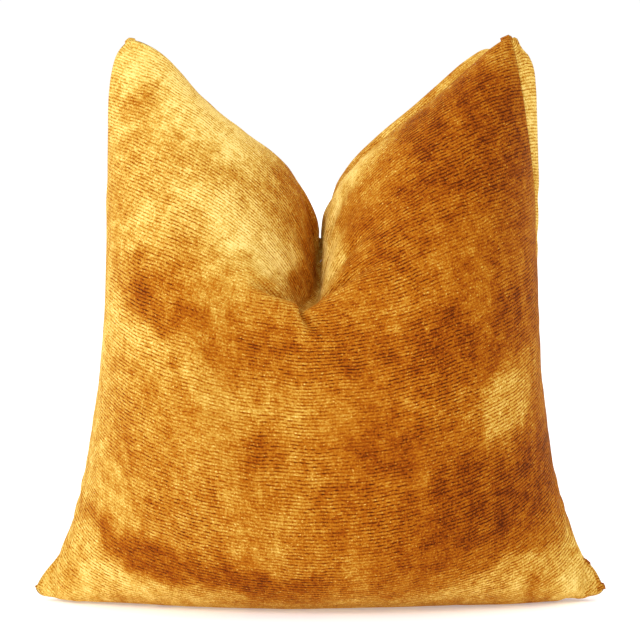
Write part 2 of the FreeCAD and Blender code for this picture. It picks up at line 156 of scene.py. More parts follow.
def crease_rows(cells):
    """The rows of the middle column that lie in the groove, and where they are."""
    up = np.linspace(0, 1, cells + 1)
    rows = np.flatnonzero(up > CREASE_UP)
    share = (1 - up[rows]) / (1 - CREASE_UP)
    return rows, read_off(walk(CREASE_FLOOR, GROOVE_POINTS), np.linspace(0, 1, GROOVE_POINTS), share)


def lobe_face(y, z):
    """Across position of the face where the lobes meet: it curves left low down and leans left in front."""
    return np.interp(z, LOBE_HEIGHTS, LOBE_ACROSS) + .004 - .007 * np.clip((-y - .02) / .06, 0, 1.3)


def apart(x, y, z, across, mirror, room, below):
    """Across positions with each lobe a room away from the face, wherever it isn't far below the groove.

    The front's lobes meet in the leaning face, and the back's in the face as it is at the middle plane.
    """
    face = lobe_face(y if mirror > 0 else 0 * y, z)
    in_groove = z > groove_height(y) - below
    x = np.where(in_groove & (across < .5), np.minimum(x, face - room), x)
    return np.where(in_groove & (across > .5), np.maximum(x, face + room), x)


def groove_height(y):
    """Height of the groove's floor that far in front of the middle plane. Past its end there is no groove."""
    groove = np.array(CREASE_FLOOR) * SHARES
    return np.interp(-y, -groove[:, 1], groove[:, 2], right=NO_GROOVE)


groove_length = walked(walk(CREASE_FLOOR, GROOVE_POINTS))[-1]
print(f"groove: {groove_length:.3f} long, holding {(1 - CREASE_UP) * CUT:.3f} of cloth")

# %% [markdown]
# ## Finding the cloth's shape
# Blender's Cloth could move a flat square all the way into this shape, but a chop is a violent move, and
# the lobes would pass through each other. A short solver of our own does the rough work: push every point
# outwards a little, then pull each pair of neighbours back to the distance at which they were woven, again
# and again. It starts on a coarse grid, where news travels fast, and doubles the grid twice. Blender's
# Cloth then finishes the shape.

# %% Starting sheet
# The middle's section: share of the cloth's height, share of the loft there, and share of the height there.
SECTION_UP = [0, .05, .10, .17, .28, .40, .52, .64, .76, .86, .94, 1]
SECTION_OUT = [0, .30, .56, .83, .97, 1, .99, .96, .89, .76, .52, 0]
SECTION_HEIGHT = [.015, .002, .002, .034, .130, .246, .367, .492, .625, .752, .877, 1]
START_LOFT = .8        # how far out the starting sheet stands, as a share of the half loft
START_GAP = .002       # between the starting sheet and the floor


def flat_sheet(across, up, curves):
    """The sheet between four seams, at any shares across and up.

    Opposite seams are blended, and the corners, which were counted twice, are taken off once.
    """
    left, right, lower, top = curves
    marks = np.linspace(0, 1, len(left))
    a, b = across[..., None], up[..., None]
    sides = ((1 - b) * read_off(lower, marks, across) + b * read_off(top, marks, across)
             + (1 - a) * read_off(left, marks, up) + a * read_off(right, marks, up))
    return sides - ((1 - a) * (1 - b) * lower[0] + a * (1 - b) * lower[-1]
                    + (1 - a) * b * top[0] + a * b * top[-1])


def cloth_grid(cells):
    """Across and up on the cloth, each from 0 to 1, for every point of a panel."""
    line = np.linspace(0, 1, cells + 1)
    return np.meshgrid(line, line)


def starting_sheet(cells):
    """The flat sheet blown out by a rounded share of the loft, less a crease, with its belly lowered."""
    across, up = cloth_grid(cells)
    sheet = flat_sheet(across, up, seam_curves(cells))
    aside = np.abs(2 * across - 1)
    crease = 1 - .4 * smooth((up - .62) / .2) * np.exp(-(aside / .13) ** 2)
    out = np.interp(up, SECTION_UP, SECTION_OUT) * (1 - aside ** 3) ** .7
    sheet[..., 1] -= START_LOFT * HALF_LOFT * out * crease
    sag = np.interp(up, SECTION_UP, SECTION_HEIGHT) - (SECTION_HEIGHT[0] + (1 - SECTION_HEIGHT[0]) * up)
    sheet[..., 2] = np.maximum(sheet[..., 2] + sag * HEIGHT * (1 - aside ** 8), START_GAP)
    return sheet


# %% Holding the seams, the groove, the floor and the lobes
ROLL_SHARE = .50       # how far the ear's inner edge stands past its seam, for each length rolled forward
ROLL_SLACK = .95       # length of the cloth past a rolled seam, once it is bent round
DEEPEST = 1.03         # how far the belly may stand out, as a share of the half loft
FURTHEST_BACK = .5     # how far past the middle plane a panel may go, as a share of the half loft
REST_GAP = .0006       # between the cloth and the floor
GROOVE_BITE = .004     # how far below the groove's floor the lobes still keep apart
OUTLINE_ROOM = .0008   # how far past the outline the cloth may go
ROLLED_UP, ROLLED_OUT = .56, .06      # the ear is rolled above and outside these shares


def rolled_edge(cells):
    """Rows, columns and places of the back cloth just past the seams of the rolled ear.

    They lie one coarse cell from the seam. Each place is the seam's own point moved outwards to the ear's
    outline, and back by the rest of the cloth's length.
    """
    _, right, _, top = seam_curves(cells)
    line = cells - cells // COARSE
    cloth = ROLL_SLACK * CUT / COARSE
    rows = np.flatnonzero((right[:, 2] > ROLLED_UP * HEIGHT) & (np.arange(cells + 1) <= line))
    out = np.interp(right[rows, 2], *outlines(cells)[1]) - right[rows, 0]
    side = right[rows] + np.column_stack([out, np.sqrt(cloth ** 2 - out ** 2), 0 * out])
    columns = np.flatnonzero((top[:, 0] > ROLLED_OUT * HALF_WIDTH) & (np.arange(cells + 1) < line))
    run = np.gradient(top[columns], axis=0)
    square = np.column_stack([-run[:, 2], 0 * run[:, 0], run[:, 0]]) / np.hypot(run[:, 0], run[:, 2])[:, None]
    out = -ROLL_SHARE * top[columns, 1:2]
    over = top[columns] + square * out + np.sqrt(cloth ** 2 - out ** 2) * (0, 1, 0)
    tip = np.full(int(cells - line > 1), (cells + line) // 2)      # the coarsest grid has no point there
    return (np.r_[rows, np.full(len(columns), line), tip], np.r_[np.full(len(rows), line), columns, tip],
            np.vstack([side, over, np.array(EAR_TIP)[None][:len(tip)] * SHARES]))

# %% Held points
def held_points(cells, mirror=1):
    """True for the points that the seams and the groove hold, and on the back also the rolled edge."""
    held = np.zeros((cells + 1, cells + 1), bool)
    held[0] = held[-1] = held[:, 0] = held[:, -1] = True
    held[crease_rows(cells)[0], cells // 2] = True
    if mirror < 0:
        rows, columns, _ = rolled_edge(cells)
        held[rows, columns] = True
    return held


def hold(sheet, cells, mirror):
    """Put the held points back on their curves. Mirror is 1 for the front and -1 for the back."""
    left, right, lower, top = (curve * (1, mirror, 1) for curve in seam_curves(cells))
    sheet[:, 0], sheet[:, -1], sheet[0], sheet[-1] = left, right, lower, top
    rows, groove = crease_rows(cells)
    sheet[rows, cells // 2] = groove
    if mirror < 0:
        rows, columns, edge = rolled_edge(cells)
        sheet[rows, columns] = edge * (1, mirror, 1)
    return sheet

# %% Limits of the free points
def keep_clear(sheet, cells, mirror, outline):
    """Keep the free points above the floor, inside the outline and on their own side of the crease."""
    across, _ = cloth_grid(cells)
    free = ~held_points(cells, mirror)
    x, y, z = sheet[..., 0], sheet[..., 1], sheet[..., 2]
    z[free] = np.maximum(z[free], REST_GAP)
    y[free] = np.clip(y[free], -DEEPEST * HALF_LOFT, FURTHEST_BACK * HALF_LOFT)
    beside = apart(x, y, z, across, mirror, LOBE_GAP, GROOVE_BITE)
    x[free] = np.clip(beside, np.interp(z, *outline[0]), np.interp(z, *outline[1]))[free]


def outlines(cells):
    """Side outlines as (heights, across) pairs: the left seam, and the outline past the right seam."""
    left = seam_curves(cells)[0]
    right = np.array(OUTLINE_RIGHT) * (HALF_WIDTH, HEIGHT)
    return (left[:, 2], left[:, 0] - OUTLINE_ROOM), (right[:, 1], right[:, 0] + OUTLINE_ROOM)


# %% Solver
WEIGHT = 1.0           # push of the filling's weight at the floor, next to that of its pressure
SAGGING = .060         # height below which the weight is felt
CARRIED = .85          # share of a round's motion that carries into the next
PULLS = 4              # times that the threads are pulled back to length in a round
BIGGEST_PUSH = 1.2     # cap on the pressure on a stretched cell, as a share of that on a flat one


def pull(points, weight, first, second, rest, shortest, longest, strength):
    """Move pairs of points along the line between them, so that each length is within its limits."""
    a, b = points[first], points[second]
    rows, columns = min(a.shape[0], b.shape[0]), min(a.shape[1], b.shape[1])
    a, b = a[:rows, :columns], b[:rows, :columns]
    weight_a, weight_b = weight[first][:rows, :columns], weight[second][:rows, :columns]
    way = b - a
    now = np.sqrt((way * way).sum(-1)) + 1e-12
    wanted = np.clip(now, rest * shortest, rest * longest)
    share = strength * (now - wanted) / now / np.maximum(weight_a + weight_b, 1)
    a += (share * weight_a)[..., None] * way
    b -= (share * weight_b)[..., None] * way


def every(step, gap, axis):
    """Slices of neighbours a gap apart along an axis, in turns that share no point."""
    whole = np.s_[:]
    for start in range(step):
        one, two = slice(start, -gap, step), slice(start + gap, None, step)
        yield ((whole, one), (whole, two)) if axis else ((one, whole), (two, whole))

# %% Settling on one grid
def settle(sheet, cells, rounds, push, mirror):
    """Blow a panel out until its cloth is as long everywhere as it was woven.

    Each round moves every free point outwards along the sheet's normal, and low ones down under the
    filling's weight. Then it pulls the threads across, the threads up and, weakly, the diagonals back to
    length. Points two apart are kept from folding together, which is the cloth's stiffness. Most of a
    round's motion carries into the next.
    """
    step = CUT / cells
    weight = (~held_points(cells, mirror)).astype(float)
    outline = outlines(cells)
    motion = np.zeros_like(sheet)
    for _ in range(rounds):
        before = sheet.copy()
        sheet += motion * CARRIED
        along, upward = np.zeros_like(sheet), np.zeros_like(sheet)
        along[:, 1:-1] = sheet[:, 2:] - sheet[:, :-2]
        upward[1:-1] = sheet[2:] - sheet[:-2]
        normal = np.cross(along, upward)
        size = np.linalg.norm(normal, axis=-1, keepdims=True) + 1e-12
        force = np.minimum(size / (4 * step * step), BIGGEST_PUSH)
        sheet += push * step * normal / size * force * weight[..., None]
        sheet[..., 2] -= WEIGHT * push * step * np.clip(1 - sheet[..., 2] / SAGGING, 0, 1) * weight
        for _ in range(PULLS):
            for pair in every(2, 1, 1):
                pull(sheet, weight, *pair, step, .93, 1.0, 1)
            for pair in every(2, 1, 0):
                pull(sheet, weight, *pair, step, .80, 1.0, 1)
            for start in (0, 1):
                rows, next_rows = slice(start, -1, 2), slice(start + 1, None, 2)
                for one, two in ((np.s_[:-1], np.s_[1:]), (np.s_[1:], np.s_[:-1])):
                    pull(sheet, weight, (rows, one), (next_rows, two), step * 2 ** .5, .97, 1.03, .15)
        for axis in (0, 1):
            for pair in every(4, 2, axis):
                pull(sheet, weight, *pair, 2 * step, .93, 9, .3)
        keep_clear(sheet, cells, mirror, outline)
        motion = (sheet - before) * weight[..., None]
    return sheet

# %% From grid to grid
def doubled(sheet):
    """The same sheet with a new point in the middle of every cell side and cell."""
    rows, columns = sheet.shape[:2]
    fine = np.empty((2 * rows - 1, 2 * columns - 1, 3))
    fine[::2, ::2] = sheet
    fine[1::2, ::2] = (sheet[1:] + sheet[:-1]) / 2
    fine[:, 1::2] = (fine[:, :-1:2] + fine[:, 2::2]) / 2
    return fine


def chopped_panel(mirror):
    """A panel found on three grids, each twice as fine as the last. It is worked out as a front panel."""
    sheet = hold(starting_sheet(COARSE), COARSE, mirror)
    sheet = settle(sheet, COARSE, 500, .02, mirror)
    sheet = hold(doubled(sheet), 2 * COARSE, mirror)
    sheet = settle(sheet, 2 * COARSE, 300, .02, mirror)
    sheet = hold(doubled(sheet), CELLS, mirror)
    return settle(sheet, CELLS, 150, .015, mirror)


front = chopped_panel(1)
back = chopped_panel(-1) * (1, -1, 1)
for side, sheet in (("front", front), ("back", back)):
    stretch = np.linalg.norm(np.diff(sheet, axis=1), axis=-1) * CELLS / CUT
    print(f"{side}: stands out {np.abs(sheet[..., 1]).max():.3f}, threads across at "
          f"{np.median(stretch):.3f} of their length")

# %% [markdown]
# ## Blender's Cloth
# The two panels are sewn into one closed skin, whose rest lengths are a flat square for each panel. Held
# by its seams and blown up with a pressure of 4 and no gravity, it evens out what the rough solver left.
# The lobes are put back to their own sides afterwards, because a collision pass would cost minutes.

# %% Sewn skin
POINTS = CELLS + 1


def skin_ids(count):
    """Point numbers of two sheets that share their edges, and which points are the second sheet's own."""
    own = np.zeros((count, count), bool)
    own[1:-1, 1:-1] = True
    one = np.arange(count * count).reshape(count, count)
    other = one.copy()
    other[own] = count * count + np.arange(own.sum())
    return one, other, own


def quads(ids, turned=False):
    """Four-sided faces over a grid of point numbers, facing the front, or the back if turned."""
    faces = np.stack([ids[:-1, :-1], ids[:-1, 1:], ids[1:, 1:], ids[1:, :-1]], -1).reshape(-1, 4)
    return faces[:, ::-1] if turned else faces


def new_mesh(name, points, faces):
    """An object with those points and faces, shaded smooth, standing at the origin."""
    mesh = bpy.data.meshes.new(name)
    mesh.from_pydata(points.reshape(-1, 3).tolist(), [], faces.tolist())
    mesh.polygons.foreach_set("use_smooth", np.ones(len(mesh.polygons), bool))
    piece = bpy.data.objects.new(name, mesh)
    bpy.context.scene.collection.objects.link(piece)
    return piece


def sewn(one, other):
    """The points of two sheets that share their edges."""
    return np.vstack([one.reshape(-1, 3), other[skin_ids(len(one))[2]]])


def closed_skin(name, one, other):
    """A closed mesh of two sheets that share their edges."""
    one_id, other_id, _ = skin_ids(len(one))
    return new_mesh(name, sewn(one, other), np.vstack([quads(one_id), quads(other_id, True)]))


# %% Cloth simulation
FRAMES = 18


def simulate(front, back):
    """Let Blender's Cloth finish the skin, and return its two panels."""
    skin = closed_skin("skin", front, back)
    front_id, back_id, own = skin_ids(POINTS)
    across, up = cloth_grid(CELLS)
    flat = np.stack([CUT * across, 0 * up, CUT * up], -1)
    skin.shape_key_add(name="Basis")
    cut_flat = skin.shape_key_add(name="cut flat")
    cut_flat.data.foreach_set("co", sewn(flat, flat).astype(np.float32).ravel())
    pins = skin.vertex_groups.new(name="held")
    held = np.r_[front_id[held_points(CELLS)], back_id[held_points(CELLS, -1)]]
    pins.add(np.unique(held).tolist(), 1.0, "REPLACE")
    cloth = skin.modifiers.new("cloth", "CLOTH")
    settings = cloth.settings
    settings.rest_shape_key = cut_flat
    settings.vertex_group_mass = "held"
    settings.quality = 5
    settings.mass = .02
    settings.tension_stiffness = settings.compression_stiffness = 15
    settings.shear_stiffness = 4
    settings.bending_stiffness = .1
    settings.use_pressure = True
    settings.uniform_pressure_force = 4
    settings.effector_weights.gravity = 0
    cloth.collision_settings.use_collision = False
    cloth.point_cache.frame_start, cloth.point_cache.frame_end = 1, FRAMES
    scene = bpy.context.scene
    scene.frame_start, scene.frame_end = 1, FRAMES
    for number in range(1, FRAMES + 1):
        scene.frame_set(number)
    shown = skin.evaluated_get(bpy.context.evaluated_depsgraph_get()).data
    found = np.empty(len(shown.vertices) * 3, np.float32)
    shown.vertices.foreach_get("co", found)
    scene.frame_set(1)
    bpy.data.objects.remove(skin)
    found = found.reshape(-1, 3).astype(float)
    new_front = found[:POINTS ** 2].reshape(POINTS, POINTS, 3)
    new_back = new_front.copy()
    new_back[own] = found[POINTS ** 2:]
    return new_front, new_back


MOST_MOVED = .012      # cap on how far the simulation may move a point


def capped(sheet, moved):
    """The moved sheet, with no point further than the cap from where it was."""
    way = moved - sheet
    far = np.linalg.norm(way, axis=-1, keepdims=True) + 1e-12
    return sheet + way * np.minimum(1, MOST_MOVED / far)


moved_front, moved_back = simulate(front, back)
moved_back[[0, -1]], moved_back[:, [0, -1]] = back[[0, -1]], back[:, [0, -1]]
print(f"cloth moved the front by up to {np.linalg.norm(moved_front - front, axis=-1).max():.4f}")
front, back = capped(front, moved_front), capped(back, moved_back)
keep_clear(front, CELLS, 1, outlines(CELLS))
back *= (1, -1, 1)
keep_clear(back, CELLS, -1, outlines(CELLS))
back *= (1, -1, 1)

# %% [markdown]
# ## From skin to sewn panels
# Each panel gets its seam allowance, the strip of cloth past the stitching that is turned inside. It folds
# the edge round, so two rounded edges meet in a fine groove, as they do along any plain seam. Along the
# zip the cloth turns in further, as a hem on each side of the slit.

# %% Seam allowance
FOLD, ALLOWANCE = .0022, .009      # first and second row of turned-in cloth, from the seam
CORE = np.array([0, 0, .45 * HEIGHT])      # the pillow's middle, towards which the allowance is turned
OFF_MIDDLE = .0002     # between the two panels' allowances and the middle plane
SLIT_END = .004        # length over which the slit opens at its ends
HEM_LIFT = .8 * FOLD   # rise of the cloth just inside the slit
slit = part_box("zip_tape_front")
SLIT_HALF, SLIT_EDGE, HEM_DEPTH = slit[1].x, -slit[1].y, -slit[0].y


def turned_in(curve, inwards, depth, mirror):
    """A seam moved inwards in its own plane, square to its run, and a hair off the middle plane."""
    run = np.gradient(curve, axis=0)
    square = np.column_stack([-run[:, 2], 0 * run[:, 0], run[:, 0]])
    square *= np.sign((square * inwards).sum(1, keepdims=True))
    square /= np.linalg.norm(square, axis=1, keepdims=True)
    return curve + square * depth + np.array([0, -OFF_MIDDLE * mirror, 0])


def with_allowance(sheet, mirror):
    """The panel with two more rows of points past each seam, folded to the inside."""
    whole = np.pad(sheet, ((2, 2), (2, 2), (0, 0)), mode="edge")
    for row, depth in ((1, FOLD), (0, ALLOWANCE)):
        for edge in (np.s_[row, 2:-2], np.s_[-1 - row, 2:-2], np.s_[2:-2, row], np.s_[2:-2, -1 - row]):
            seam = whole[edge]
            whole[edge] = turned_in(seam, CORE - seam, depth, mirror)
    for i, j in ((0, 0), (0, -1), (-1, 0), (-1, -1)):
        corner = whole[2 if i == 0 else -3, 2 if j == 0 else -3].copy()
        inward = (CORE - corner) / np.linalg.norm(CORE - corner)
        for a, b in ((0, 0), (0, 1), (1, 0), (1, 1)):
            depth = ALLOWANCE if a + b < 2 else FOLD
            whole[a if i == 0 else -1 - a, b if j == 0 else -1 - b] = corner + inward * depth
    along_zip = smooth((SLIT_HALF + SLIT_END - np.abs(whole[2, :, 0])) / SLIT_END)
    whole[2, :, 1] -= mirror * SLIT_EDGE * along_zip
    whole[1, :, 1] = whole[2, :, 1]
    whole[1, :, 2] = whole[2, :, 2] + HEM_LIFT
    whole[0, :, 1] = whole[2, :, 1] - mirror * (HEM_DEPTH - SLIT_EDGE) * along_zip
    whole[0, :, 2] = whole[1, :, 2] + SLIT_END * (1 - along_zip)
    return whole


# %% Puckers and soft lumps
LATTICE = 400          # random values along each side of the noise's lattice
PUCKER, PUCKER_LONG, PUCKER_DEEP = .0011, .011, .013      # height, length along the seam, and reach from it
LUMP, LUMP_WIDE, LUMP_TALL = .0013, .070, .055
SEAM_EASE = .006       # distance from a seam over which the puckers start


def mottle(a, b, size_a, size_b, seed):
    """Soft noise from -1 to 1: random values on a lattice of that size, joined by eased steps."""
    random = np.random.default_rng(seed).uniform(-1, 1, (LATTICE, LATTICE))
    x, y = a / size_a + LATTICE / 4, b / size_b + LATTICE / 4
    i, j = np.floor(x).astype(int) % (LATTICE - 1), np.floor(y).astype(int) % (LATTICE - 1)
    s, t = smooth(x - np.floor(x)), smooth(y - np.floor(y))
    low_side = random[i, j] * (1 - s) + random[i + 1, j] * s
    high_side = random[i, j + 1] * (1 - s) + random[i + 1, j + 1] * s
    return low_side * (1 - t) + high_side * t


def normals(sheet, mirror):
    """Outward direction at every point: across the sheet crossed with up the sheet."""
    normal = np.cross(np.gradient(sheet, axis=1), np.gradient(sheet, axis=0)) * mirror
    return normal / (np.linalg.norm(normal, axis=-1, keepdims=True) + 1e-12)

# %% Corner folds and puckers
def corner_folds(x, z, seed):
    """Rise of the cloth at a lower corner, where the filling thins out and the corner folds over.

    A groove crosses the corner where it bends, and folds fan out from the tip on both sides of it. They are
    noise round the corner, times a hump over the distance from the tip.
    """
    reach, turn = np.hypot(x, z), np.arctan2(z, x + 1e-9)
    fan = mottle(turn, 0 * turn, .20, 1, seed) * np.exp(-((reach - .042) / .026) ** 2)
    bend = np.exp(-(((x + z) - .036 + .008 * mottle(turn, 0 * turn, .5, 1, seed + 1)) / .006) ** 2)
    return .0022 * fan - .0026 * bend * np.exp(-reach / .060)


def puckered(sheet, mirror, seed):
    """The sheet with seam puckers and corner folds, and with the filling's broad soft lumps."""
    across, up = cloth_grid(CELLS)
    x, z = across * CUT, up * CUT
    from_side, from_end = np.minimum(x, CUT - x), np.minimum(z, CUT - z)
    past_side, past_end = smooth(from_side / SEAM_EASE), smooth(from_end / SEAM_EASE)
    side = mottle(z, 0 * z, PUCKER_LONG, 1, seed) * np.exp(-from_side / PUCKER_DEEP) * past_side
    end = mottle(x, 0 * x, PUCKER_LONG, 1, seed + 1) * np.exp(-from_end / PUCKER_DEEP) * past_end
    near_corner = np.exp(-np.hypot(from_side, z) / .030)
    lumps = mottle(x, z, LUMP_WIDE, LUMP_TALL, seed + 2) * smooth(from_side / .05) * smooth(from_end / .05)
    rise = PUCKER * (side + end) * (1 + near_corner) + LUMP * lumps
    inwards = past_side * past_end
    rise += (corner_folds(x, z, seed + 3) + corner_folds(CUT - x, z, seed + 5)) * inwards
    rise[held_points(CELLS, mirror)] = 0
    return sheet + normals(sheet, mirror) * rise[..., None]


front, back = puckered(front, 1, 20), puckered(back, -1, 40)
for sheet in (front, back):
    sheet[..., 2] = np.maximum(sheet[..., 2], REST_GAP)

# %% Panels as objects
WALL = .0016           # the velvet's backing; its pile is in the material


def applied(piece, kind, **settings):
    """A piece with one more modifier, already worked into its mesh."""
    change = piece.modifiers.new("change", kind)
    for key, value in settings.items():
        setattr(change, key, value)
    shown = piece.evaluated_get(bpy.context.evaluated_depsgraph_get())
    mesh = bpy.data.meshes.new_from_object(shown)
    piece.modifiers.clear()
    piece.data = mesh
    return piece


def cloth_panel(name, sheet, mirror):
    """A panel of cloth: folded edges, one subdivision, and a wall to the inside.

    Its UV map is the flat cloth in metres, so a pattern straight on the cloth follows every bend of it.
    """
    whole = with_allowance(sheet, mirror)
    piece = new_mesh(name, whole, quads(skin_ids(len(whole))[0], mirror < 0))
    line = (np.arange(len(whole)) - 2) * CUT / CELLS
    across, up = np.meshgrid(line, line)
    on_cloth = np.column_stack([across.ravel(), up.ravel()])
    corners = np.empty(len(piece.data.loops), int)
    piece.data.loops.foreach_get("vertex_index", corners)
    piece.data.uv_layers.new(name="cloth").data.foreach_set("uv", on_cloth[corners].ravel())
    for key, value in (("cloth_x", across), ("cloth_z", up)):
        piece.data.attributes.new(key, "FLOAT", "POINT").data.foreach_set("value", value.ravel())
    applied(piece, "SUBSURF", levels=1, render_levels=1)
    applied(piece, "SOLIDIFY", thickness=WALL, offset=-1)
    print(f"{name}: {len(piece.data.vertices)} points, {len(piece.data.polygons)} faces")
    return piece


velvet_front = cloth_panel("velvet_front", front, 1)
velvet_back = cloth_panel("velvet_back", back, -1)

# %% [markdown]
# ## Threads of the cover
# The panels are lockstitched a little inside the seam, and their raw edges are overlocked. Both are out of
# sight between the folds, but they follow the seams of this skin, so they are laid again along them. Each
# thread is a six-sided bar, because there are hundreds and none is thicker than half a millimetre.

# %% Bars of thread
THREAD = .00025        # radius
SIDES = 6
SEWING = .0022         # from a seam to its stitching
LOOP_PITCH = .007
LOOP_DEPTHS = (.0070, .0100)      # from a seam to the two ends of an overlock loop


def bars(name, starts, ends, radius=THREAD):
    """Straight round bars between pairs of points.

    Each end carries a ring of points around the bar's line: the cosine and sine of six even angles times
    the radius, along two directions square to the line. Rings are joined by four-sided faces and capped.
    """
    way = ends - starts
    way /= np.linalg.norm(way, axis=1, keepdims=True)
    side = np.cross(way, (.31, .87, .38))
    side /= np.linalg.norm(side, axis=1, keepdims=True)
    angle = np.arange(SIDES) * 2 * np.pi / SIDES
    ring = radius * (np.cos(angle)[None, :, None] * side[:, None]
                     + np.sin(angle)[None, :, None] * np.cross(way, side)[:, None])
    points = np.concatenate([starts[:, None] + ring, ends[:, None] + ring], axis=1)
    around = np.arange(SIDES)
    walls = np.column_stack([around, (around + 1) % SIDES, (around + 1) % SIDES + SIDES, around + SIDES])
    caps = np.array([[5, 4, 3, 2], [5, 2, 1, 0], [6, 7, 8, 9], [6, 9, 10, 11]])     # two quads each
    first = np.arange(len(starts))[:, None, None] * 2 * SIDES
    faces = (np.vstack([walls, caps])[None] + first).reshape(-1, 4)
    return new_mesh(name, points, faces)

# %% Stitches and loops
def spaced(curve, pitch, start, end):
    """Points a pitch apart along a part of a curve, which runs from share start to share end."""
    marks = walked(curve)
    return read_off(curve, marks, np.arange(start * marks[-1], end * marks[-1], pitch))


def sewn_in(curve, depth):
    """A seam's curve moved inwards, towards the pillow's middle."""
    return turned_in(curve, CORE - curve, depth, 0)


def stitches(name, rows, depth, pitch=.0065, stitch=.0040):
    """Lockstitches along rows, each a curve with the parts of it that are sewn."""
    starts, ends = [], []
    for curve, parts in rows:
        for start, end in parts:
            points = spaced(sewn_in(curve, depth), pitch, start, end)
            way = np.diff(points, axis=0)
            starts.append(points[:-1])
            ends.append(points[:-1] + way / np.linalg.norm(way, axis=1, keepdims=True) * stitch)
    return bars(name, np.vstack(starts), np.vstack(ends))


def loops(name, curve, start, end):
    """Overlock loops: slanting bars over the raw edge of the allowance."""
    low_ends, high_ends = (spaced(sewn_in(curve, depth), LOOP_PITCH, start, end) for depth in LOOP_DEPTHS)
    count = min(len(low_ends), len(high_ends)) - 1
    return bars(name, low_ends[:count], (high_ends[:count] + high_ends[1:count + 1]) / 2)

# %% Threads of each seam
left_seam, right_seam, lower_seam, top_seam = seam_curves(CELLS)
closed = (CUT / 2 - SLIT_HALF) / CUT - .02      # share of the lower seam that is sewn at each end
cover_threads = {}
for name, curve, parts in (
        ("left", left_seam, [(.02, .985)]), ("right", right_seam, [(.02, .985)]),
        ("top_left", top_seam, [(.01, .44)]), ("top_right", top_seam, [(.56, .99)]),
        ("lower", lower_seam, [(.02, closed), (1 - closed, .98)])):
    node = "seam_stitches_" + name.replace("lower", "lower_corners")
    cover_threads[node] = stitches(f"cover_stitches_{name}", [(curve, parts)], SEWING)
for name, curve, start, end in (("left", left_seam, .05, .95), ("right", right_seam, .05, .95),
                                ("top_left", top_seam, .05, .42), ("top_right", top_seam, .58, .95)):
    cover_threads[f"overlock_{name}"] = loops(f"overlocking_{name}", curve, start, end)
for node, piece in cover_threads.items():
    print(f"{piece.name}: {len(piece.data.vertices) // (2 * SIDES)} stitches")

# %% [markdown]
# ## The insert
# The cotton insert and its down fill the cover from within. They are the cover's own sheets moved inwards,
# and drawn in further near the seams, where the cover's allowance takes up the room.

# %% Inner layers
COVER_TO_INSERT = .0034        # from the velvet's face to the cotton's
COVER_TO_DOWN = .0050          # and to the down
COTTON = .0008
CREASE_ROOM = .009             # more depth under the crease
LOBE_ROOM = .012               # between the groove's floor and the cotton
INSERT_INSET, LOWER_INSET, STITCH_INSET = .036, .050, .006     # shares of the cloth, from the cover's seams
NOTCH_ROOM = .10               # share of the height by which the insert's top lies lower at the notch
SEAM_BLEND = .12               # share of the cloth over which the layers close up to their seam


def inset_sheet(across, up, more=0.0):
    """The flat sheet between the seams, read a margin further in: the insert's own middle plane.

    Its top is rounded off well below the notch, where the cover is too narrow for it.
    """
    side, lower_side = INSERT_INSET + more, LOWER_INSET + more
    below_notch = 1 - NOTCH_ROOM * np.exp(-((across - .5) / .09) ** 2) * up
    return flat_sheet(side + (1 - 2 * side) * across, lower_side + (1 - side - lower_side) * up * below_notch,
                      seam_curves(CELLS))


def softened(sheet, rounds):
    """The sheet with each inner point moved, in every round, to the mean of its four neighbours."""
    soft = sheet.copy()
    for _ in range(rounds):
        soft[1:-1, 1:-1] = (soft[2:, 1:-1] + soft[:-2, 1:-1] + soft[1:-1, 2:] + soft[1:-1, :-2]) / 4
    return soft


def inner_layer(sheet, mirror, depth, more):
    """The softened cover moved inwards along its normals, and blended into the inset sheet near the seams.

    The blend's weight is the cube of one less the distance from the edge, over an eighth of the cloth. Under
    the crease the layer lies deeper, because it can't follow so sharp a groove.
    """
    across, up = cloth_grid(CELLS)
    sheet = softened(sheet, 4)
    depth = depth + CREASE_ROOM * (np.exp(-((across - .5) / .07) ** 2) * smooth((up - .52) / .12))[..., None]
    edge = np.minimum.reduce([across, 1 - across, up, 1 - up])
    blend = ((1 - np.minimum(edge / SEAM_BLEND, 1)) ** 3)[..., None]
    moved = sheet - normals(sheet, mirror) * depth
    middle = inset_sheet(across, up, more)
    layer = (1 - blend) * moved + blend * middle
    x, y, z = layer[..., 0], layer[..., 1] * mirror, layer[..., 2]
    x = apart(x, y, z, across, mirror, LOBE_ROOM / 2, LOBE_ROOM)
    z = np.where(np.abs(across - .5) < 1e-6, np.minimum(z, groove_height(y) - LOBE_ROOM), z)
    return np.stack([x, np.minimum(y, middle[..., 1] * mirror) * mirror, z], -1)[::2, ::2]

# %% Cotton and down
cotton, down = [], []
for side, sheet, mirror in (("front", front, 1), ("back", back, -1)):
    layer = inner_layer(sheet, mirror, COVER_TO_INSERT, 0.0)
    shell = new_mesh(f"cotton_{side}", layer, quads(skin_ids(len(layer))[0], mirror < 0))
    cotton.append(applied(shell, "SOLIDIFY", thickness=COTTON, offset=-1))
    down.append(inner_layer(sheet, mirror, COVER_TO_DOWN, .004))

filling = closed_skin("down_filling", *down)
print(f"down fills a body {filling.dimensions.x:.3f} wide and {filling.dimensions.y:.3f} deep")

# %% Threads of the insert
line = np.linspace(0, 1, POINTS)
edges = [inset_sheet(a, b, STITCH_INSET) for a, b in (
    (0 * line, line), (0 * line + 1, line), (line, 0 * line), (line, 0 * line + 1))]
sewn_parts = ([(.06, .97)], [(.06, .97)], [(.08, .34), (.66, .92)], [(.04, .41), (.59, .96)])
cotton_stitches = stitches("cotton_stitches", zip(edges, sewn_parts), 0)
closing_stitches = stitches("closing_stitches", [(edges[2], [(.36, .64)])], 0, pitch=.0039, stitch=.0024)

